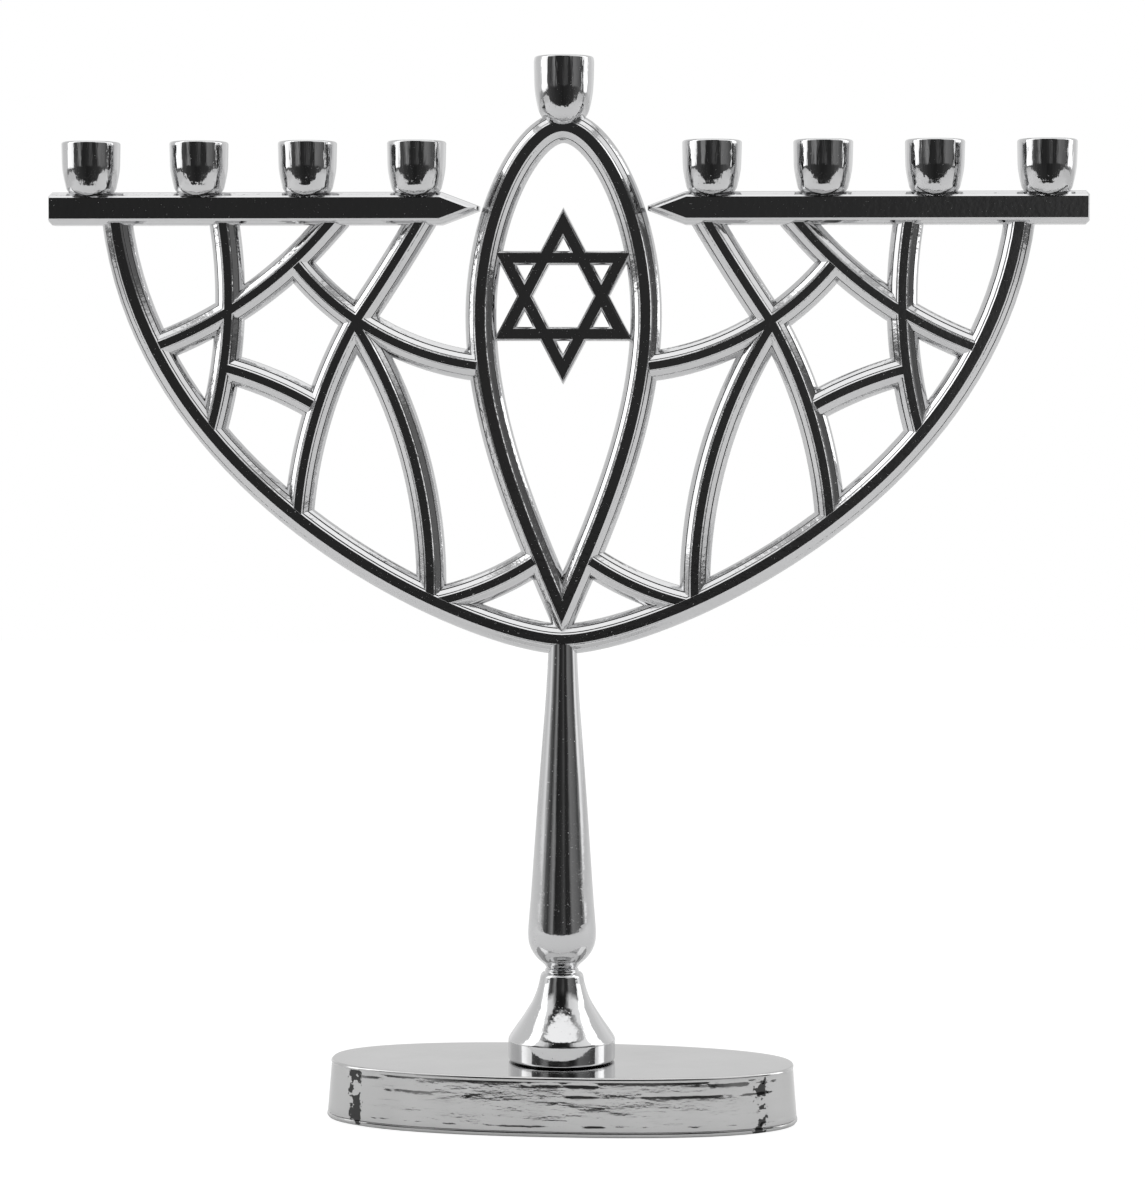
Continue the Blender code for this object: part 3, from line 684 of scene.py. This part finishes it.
def make_rails(material):
    """Bow, oval and the ribs of both sides."""
    bow_mesh = sweep_mesh("bow", bow_line(), whole_section(BOW_QUARTER))
    bow = new_piece("cast_bow", bow_mesh, "fan_metal", "bow")
    oval_mesh = sweep_mesh("oval", oval_line(), whole_section(OVAL_QUARTER), closed=True)
    oval = new_piece("cast_mandorla", oval_mesh, "fan_metal", "mandorla")
    section = whole_section(RIB_QUARTER)
    pieces = [bow, oval]
    meshes = []
    for index, (start, end, bulge, before, after) in enumerate(RIBS):
        line = mirrored(run_on(arc(start, end, bulge, RIB_STEPS), before, after))
        meshes.append(sweep_mesh(f"rib {index}", line, section))
    left = united_mesh("tracery left", meshes)
    right = left.copy()
    right.transform(Matrix.Diagonal((-1.0, 1.0, 1.0, 1.0)))
    for word, ribs in (("left", left), ("right", faced_out(right))):
        pieces.append(new_piece(f"cast_tracery_{word}", ribs, "fan_metal", f"tracery_{word}"))
    for piece in pieces:
        give(piece, material)
        shade(piece)


def bar_outline(low, high, side, inset):
    """Outline of a bar, moved in by inset: clipped outer corners and a pointed inner end."""
    outer, tip = (high.x, low.x) if side > 0 else (low.x, high.x)
    middle = (low.z + high.z) / 2
    half = (high.z - low.z) / 2 - inset
    end = outer - side * inset * BAR_END_SHARE
    clip = max(BAR_CORNER_CLIP - inset * BAR_CLIP_SHRINK, BAR_LEAST_CLIP)
    slope = (high.z - middle - BAR_TIP_HALF_HEIGHT) / BAR_SHOULDER
    slant = inset * math.hypot(1.0, slope)
    tip_half = BAR_TIP_HALF_HEIGHT + slope * inset - slant
    tip_x = tip + side * inset
    if tip_half < BAR_LEAST_TIP:
        tip_x = tip + side * (slant - BAR_TIP_HALF_HEIGHT + BAR_LEAST_TIP) / slope
        tip_half = BAR_LEAST_TIP
    shoulder_x = tip + side * (half + slant - BAR_TIP_HALF_HEIGHT) / slope
    upper = ((end, half - clip), (end - side * clip, half), (shoulder_x, half), (tip_x, tip_half))
    return [(x, middle + z) for x, z in upper] + [(x, middle - z) for x, z in reversed(upper)]


def bar_skin(word, side):
    """Bar with stepped and rounded bevels on both faces."""
    low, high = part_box(f"bar_{word}")
    levels = [(inset * MM, -depth * MM) for inset, depth in BAR_LEVELS]
    levels += [(inset, -depth) for inset, depth in reversed(levels)]
    loops = []
    for inset, depth in levels:
        loops.append([(x, depth, z) for x, z in bar_outline(low, high, side, inset)])
    return loft_mesh(f"bar {word}", loops)


def make_bars(material):
    """Both candle bars."""
    for side, word in ((-1, "left"), (1, "right")):
        bar = new_piece(f"cast_bar_{word}", bar_skin(word, side), "fan_metal", f"bar_{word}")
        give(bar, material)
        bevel = bar.modifiers.new("soft edges", "BEVEL")
        bevel.width = BAR_SOFT_EDGE
        bevel.segments = BAR_SOFT_STEPS
        bevel.limit_method = "ANGLE"
        bevel.angle_limit = math.radians(BAR_SOFT_ANGLE)
        shade(bar)


def triangle_line(tip, base):
    """Middle line of a triangular band whose outer corners are at tip and base heights."""
    rise = abs(tip - base)
    slant = math.hypot(rise, STAR_HALF_WIDTH)
    inset = STAR_BAND / 2
    way = math.copysign(1.0, tip - base)
    inner_base = base + way * inset
    inner_tip = tip - way * inset * slant / STAR_HALF_WIDTH
    half_width = abs(inner_tip - inner_base) * STAR_HALF_WIDTH / rise
    return (half_width, inner_base), (0.0, inner_tip), (-half_width, inner_base)


def make_star(material):
    """Star of two crossed triangular bands with bevelled edges."""
    low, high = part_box("star")
    middle = (low.z + high.z) / 2
    section = whole_section(STAR_QUARTER)
    meshes = []
    for way in (1, -1):
        tip = way * STAR_HALF_HEIGHT
        line = [(x, middle + z) for x, z in triangle_line(tip, tip - way * STAR_SIDE_HEIGHT)]
        meshes.append(sweep_mesh(f"triangle {way}", line, section, closed=True))
    star = new_piece("cast_star", united_mesh("star", meshes), "fan_metal", "star")
    give(star, material)
    shade(star)


def cup_run(outside, raise_by):
    """Profile of a cup from its underside, over the rim and down to the floor of the well."""
    rim = [(radius, height + raise_by) for radius, height in CUP_RIM]
    well = [(radius, height + raise_by) for radius, height in CUP_WELL]
    run = curve_through(outside, PROFILE_STEPS)[:-1]
    run += curve_through(rim, RIM_STEPS)[:-1]
    return run + curve_through(well, RIM_STEPS)


def make_cup(node, name, outside, raise_by, material):
    """Candle cup whose rim is level with its node's."""
    low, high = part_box(node)
    run = cup_run(outside, raise_by)
    top = max(height for _, height in run) * MM
    centre = Vector(((low.x + high.x) / 2, (low.y + high.y) / 2, high.z - top))
    cup = new_piece(name, turned_mesh(name, run, centre, CUP_STEPS), "cup_metal", node)
    give(cup, material)
    shade(cup, TURNED_CREASE)


def make_cups(material):
    """Eight cups on the bars and the taller one on the oval."""
    for number in range(1, CUPS_ON_BARS + 1):
        make_cup(f"candle_cup_{number}", f"plated_cup_{number}", CUP_OUTSIDE, 0.0, material)
    rise = SHAMASH_OUTSIDE[-1][1] - CUP_OUTSIDE[-1][1]
    make_cup("shamash_cup", "plated_shamash_cup", SHAMASH_OUTSIDE, rise, material)


def make_stem(material):
    """Turned stem and its bell foot."""
    for node, name, runs in (
        ("stem", "turned_stem", (STEM_BULB, STEM_SHAFT, STEM_TOP)),
        ("stem_foot", "turned_stem_foot", (BELL_RING, BELL_SHOULDER, BELL_NECK, BELL_COLLAR)),
    ):
        low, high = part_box(node)
        centre = Vector(((low.x + high.x) / 2, (low.y + high.y) / 2, low.z))
        profile = []
        for run in runs:
            profile += curve_through(run, PROFILE_STEPS)[:-1]
        profile.append(Vector(runs[-1][-1]))
        piece = new_piece(name, turned_mesh(name, profile, centre, TURN_STEPS), "stem_metal", node)
        give(piece, material)
        shade(piece, TURNED_CREASE)


def plan_loop(half_length, half_depth, height, squareness=BASE_SQUARENESS):
    """Oblong loop with full ends; a squareness of 2 with equal halves is a circle."""
    loop = []
    for index in range(BASE_COLUMNS):
        angle = 2 * math.pi * index / BASE_COLUMNS
        cosine, sine = math.cos(angle), math.sin(angle)
        across = math.copysign(abs(cosine) ** (2 / squareness), cosine)
        back = math.copysign(abs(sine) ** (2 / squareness), sine)
        loop.append(Vector((across * half_length, back * half_depth, height)))
    return loop


def circle_loop(radius, height):
    """Round loop about the stem's axis."""
    return plan_loop(radius, radius, height, squareness=2.0)


def corner_dent(point, height_share, half_length):
    """Patchy dent near the ends of both long walls, deepest at the top and the foot."""
    off = (abs(point.x) / half_length - CORNER_PLACE) / CORNER_WIDTH
    patches = max(0.0, wave(point, *CORNER_PATCHES) + CORNER_PATCH_LIFT)
    ends = CORNER_MIDDLE_SHARE + (1 - CORNER_MIDDLE_SHARE) * abs(2 * height_share - 1)
    return math.exp(-(off**2)) * CORNER_DEPTH * patches * ends


def wall_relief(point, height_share, half_length):
    """How far the wall stands out at a point: long low ripples, less its dents and broken creases."""
    stretched = Vector((point.x * RIPPLE_STRETCH, point.y * RIPPLE_STRETCH, point.z))
    ripple = sum(wave(stretched, size, depth, seed) for size, depth, seed in WALL_RIPPLES)
    dent = corner_dent(point, height_share, half_length)
    for row, width, depth, seed in WALL_CREASES:
        drift = sum(wave((point.x, 0.0, 0.0), size, reach, seed) for size, reach in CREASE_DRIFTS)
        off = (height_share - row - drift) / width
        cloud = sum(wave((point.x, point.y, seed), size, strength, seed) for size, strength in CREASE_NOISES)
        shown = min(max(0.0, cloud - CREASE_BREAK) * CREASE_STEEPNESS, 1.0)
        dent += math.exp(-(off**2)) * shown * depth
    return ripple - dent


def top_loops(top_x, top_y, top):
    """Loops from the bore in the top out over the rounded rim."""
    loops = [circle_loop(BORE_RADIUS, top)]
    loops += [plan_loop(top_x * share, top_y * share, top) for share in TOP_RINGS]
    for step in range(BASE_EDGE_STEPS + 1):
        angle = math.radians(90 - 90 * step / BASE_EDGE_STEPS)
        inward = BASE_EDGE * (1 - math.cos(angle))
        height = top - BASE_EDGE * (1 - math.sin(angle))
        loops.append(plan_loop(top_x - inward, top_y - inward, height))
    return loops


def wall_loops(top_x, top_y, wall_top, wall_bottom):
    """Loops down the worked wall, each a little further out than the one above."""
    loops = []
    for row in range(1, BASE_ROWS + 1):
        share = 1 - row / BASE_ROWS
        outward = BASE_LEAN * (1 - share) - DENT_ROOM
        height = wall_bottom + (wall_top - wall_bottom) * share
        loop = plan_loop(top_x + outward, top_y + outward, height)
        fade = min(1.0, (1 - share) * DENT_FADE, share * DENT_FADE)
        for point in loop:
            facing = Vector((point.x / top_x**2, point.y / top_y**2, 0.0)).normalized()
            point += facing * (wall_relief(point, share, top_x) + DENT_LIFT) * fade
        loops.append(loop)
    return loops


def underside_loops(foot_x, foot_y, bottom, plate_under):
    """Loops in under the base: the pad's rebate, the hollow, the boss and its bore."""
    rebate = (foot_x - REBATE_WALL, foot_y - REBATE_WALL)
    hollow = (foot_x - BASE_LEAN - BASE_WALL, foot_y - BASE_LEAN - BASE_WALL)
    return [
        plan_loop(*rebate, bottom),
        plan_loop(*rebate, REBATE_TOP),
        plan_loop(*hollow, REBATE_TOP),
        plan_loop(*hollow, plate_under),
        circle_loop(BOSS_RADIUS, plate_under),
        circle_loop(BOSS_RADIUS, plate_under - BOSS_LENGTH),
        circle_loop(BORE_RADIUS, plate_under - BOSS_LENGTH),
    ]


def base_loops():
    """Loops from the bore in the top, out over the rim, down the wall and in under the base."""
    low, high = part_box("base_shell")
    foot_x, foot_y = high.x, high.y
    top_x, top_y = foot_x - BASE_LEAN, foot_y - BASE_LEAN
    top, bottom = high.z, low.z
    loops = top_loops(top_x, top_y, top)
    loops += wall_loops(top_x, top_y, top - BASE_EDGE, bottom + LIP_HEIGHT)
    loops += [plan_loop(foot_x - inward, foot_y - inward, bottom + height) for inward, height in LIP_PROFILE]
    return loops + underside_loops(foot_x, foot_y, bottom, top - BASE_PLATE)


def make_base(material):
    """Hollow base casting."""
    mesh = loft_mesh("base", base_loops(), endless=True)
    base = new_piece("cast_base_shell", mesh, "base_metal", "base_shell")
    give(base, material)
    shade(base, BASE_CREASE)


def finish_cad_pieces():
    """Pad, screw and washer keep their shape and get worked surfaces."""
    steel = steel_material()
    give(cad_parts["base_pad"], rubber_material())
    for node in ("clamp_screw", "screw_washer"):
        give(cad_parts[node], steel)
        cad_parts[node].data.shade_smooth()
        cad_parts[node].data.set_sharp_from_angle(angle=math.radians(STEEL_CREASE))


def add_round(tree, round_share, stops):
    """Brightness round the room; stops are (degrees from the front, brightness)."""
    return add_ramp(tree, round_share, [(angle / 180.0, brightness) for angle, brightness in stops])


def room_colour(tree):
    """Colour of the room in each direction, by the angle round it and by the height."""
    place = tree.nodes.new("ShaderNodeTexCoord").outputs["Generated"]
    split = tree.nodes.new("ShaderNodeSeparateXYZ")
    tree.links.new(place, split.inputs["Vector"])
    across, along, up = (split.outputs[axis] for axis in "XYZ")
    toward = add_maths(tree, "MULTIPLY", along, -1.0)
    round_angle = add_maths(tree, "ABSOLUTE", add_maths(tree, "ARCTAN2", across, toward))
    round_share = add_maths(tree, "DIVIDE", round_angle, math.pi)
    height = add_maths(tree, "MULTIPLY", add_maths(tree, "ARCSINE", up), 180.0 / math.pi)
    on_right = add_range(tree, across, (-SIDE_BLEND, SIDE_BLEND))
    left, right = (add_round(tree, round_share, stops) for stops in (LEFT_ROUND, RIGHT_ROUND))
    colour = add_round(tree, round_share, LOW_ROUND)
    for from_height, above in (
        (EYE_LEVEL_FROM, add_mix(tree, on_right, left, right)),
        (HIGH_FROM, add_round(tree, round_share, HIGH_ROUND)),
        (GAP_FROM, add_round(tree, round_share, GAP_ROUND)),
        (OVERHEAD_FROM, add_round(tree, round_share, OVERHEAD_ROUND)),
    ):
        colour = add_mix(tree, add_range(tree, height, from_height), colour, above)
    return colour


def make_room():
    """Room that is dark in front and bright overhead, and white paper where the camera sees it."""
    world = bpy.data.worlds.new("studio")
    bpy.context.scene.world = world
    world.use_nodes = True
    tree = world.node_tree
    tree.nodes.clear()
    room = tree.nodes.new("ShaderNodeBackground")
    room.inputs["Strength"].default_value = ROOM_STRENGTH
    tree.links.new(room_colour(tree), room.inputs["Color"])
    paper = tree.nodes.new("ShaderNodeBackground")
    paper.inputs["Color"].default_value = (1.0, 1.0, 1.0, 1.0)
    path = tree.nodes.new("ShaderNodeLightPath")
    chosen = tree.nodes.new("ShaderNodeMixShader")
    tree.links.new(path.outputs["Is Camera Ray"], chosen.inputs[0])
    tree.links.new(room.outputs[0], chosen.inputs[1])
    tree.links.new(paper.outputs[0], chosen.inputs[2])
    output = tree.nodes.new("ShaderNodeOutputWorld")
    tree.links.new(chosen.outputs[0], output.inputs["Surface"])


def make_table():
    """Pale table top under the menorah."""
    top = bmesh.new()
    corners = (
        (-TABLE_HALF_WIDTH, -TABLE_FRONT), (TABLE_HALF_WIDTH, -TABLE_FRONT),
        (TABLE_HALF_WIDTH, TABLE_BACK), (-TABLE_HALF_WIDTH, TABLE_BACK),
    )
    top.faces.new([top.verts.new((x, y, 0.0)) for x, y in corners])
    mesh = bpy.data.meshes.new("table top")
    top.to_mesh(mesh)
    top.free()
    table = bpy.data.objects.new("table top", mesh)
    bpy.context.scene.collection.objects.link(table)
    material, tree, shader = tree_of("white paper")
    shader.inputs["Base Color"].default_value = PAPER_TINT
    shader.inputs["Roughness"].default_value = 0.9
    shader.inputs["Specular IOR Level"].default_value = 0.1
    glow = tree.nodes.new("ShaderNodeEmission")
    glow.inputs["Strength"].default_value = PAPER_GLOW
    blown_out = tree.nodes.new("ShaderNodeMixShader")
    seen = tree.nodes.new("ShaderNodeLightPath").outputs["Is Camera Ray"]
    tree.links.new(add_maths(tree, "MULTIPLY", seen, PAPER_GLOW_SHARE), blown_out.inputs[0])
    tree.links.new(shader.outputs[0], blown_out.inputs[1])
    tree.links.new(glow.outputs[0], blown_out.inputs[2])
    tree.links.new(blown_out.outputs[0], tree.nodes["Material Output"].inputs["Surface"])
    table.data.materials.append(material)


def add_panel(name, place, size, power, shown_in_metal):
    """Area lamp that faces the stem's axis at eye level, or straight down when it hangs overhead."""
    data = bpy.data.lights.new(name, "AREA")
    data.shape = "RECTANGLE"
    data.size, data.size_y = size
    data.energy = power
    lamp = bpy.data.objects.new(name, data)
    lamp.location = place
    across, along, _ = place
    if abs(across) > abs(along):
        lamp.rotation_euler = Vector((across, along, 0.0)).to_track_quat("Z", "Y").to_euler()
    lamp.visible_glossy = shown_in_metal
    lamp.visible_camera = False
    bpy.context.scene.collection.objects.link(lamp)


def make_lamps():
    """A tall soft box on each side, and a broad lamp overhead that the metal doesn't show."""
    for word, place in (("left", LEFT_PANEL_PLACE), ("right", RIGHT_PANEL_PLACE)):
        add_panel(f"soft box {word}", place, PANEL_SIZE, PANEL_POWER, True)
    add_panel("overhead lamp", OVERHEAD_LAMP_PLACE, OVERHEAD_LAMP_SIZE, OVERHEAD_LAMP_POWER, False)


def make_camera():
    """Camera in front, looking slightly down."""
    data = bpy.data.cameras.new("camera")
    data.lens = CAMERA_LENS
    data.sensor_width = CAMERA_SENSOR
    camera = bpy.data.objects.new("camera", data)
    turn = math.radians(CAMERA_TURN)
    camera.location = (math.sin(turn) * CAMERA_DISTANCE, -math.cos(turn) * CAMERA_DISTANCE, CAMERA_HEIGHT)
    look = Vector(CAMERA_TARGET) - camera.location
    aim = look.to_track_quat("-Z", "Y").to_matrix() @ Matrix.Rotation(math.radians(CAMERA_ROLL), 3, "Z")
    camera.rotation_euler = aim.to_euler()
    bpy.context.scene.collection.objects.link(camera)
    bpy.context.scene.camera = camera


def main():
    """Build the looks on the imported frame."""
    fan_plate = plated_material("fan plate", ripple=130.0, ripple_depth=0.000040, grain_depth=0.000042)
    cup_plate = plated_material(
        "cup plate", ripple=210.0, ripple_depth=0.000040, grain_depth=0.000014, streak_depth=0.000150
    )
    turned_plate = plated_material(
        "turned plate", ripple=150.0, ripple_depth=0.000030, grain_depth=0.000010,
        streak_depth=0.000050, streak_stretch=0.03,
    )
    make_rails(fan_plate)
    make_bars(fan_plate)
    make_star(fan_plate)
    make_cups(cup_plate)
    make_stem(turned_plate)
    make_base(base_material())
    finish_cad_pieces()
    make_table()
    make_lamps()
    make_room()
    make_camera()
    bpy.context.scene.view_settings.view_transform = "Standard"


main()
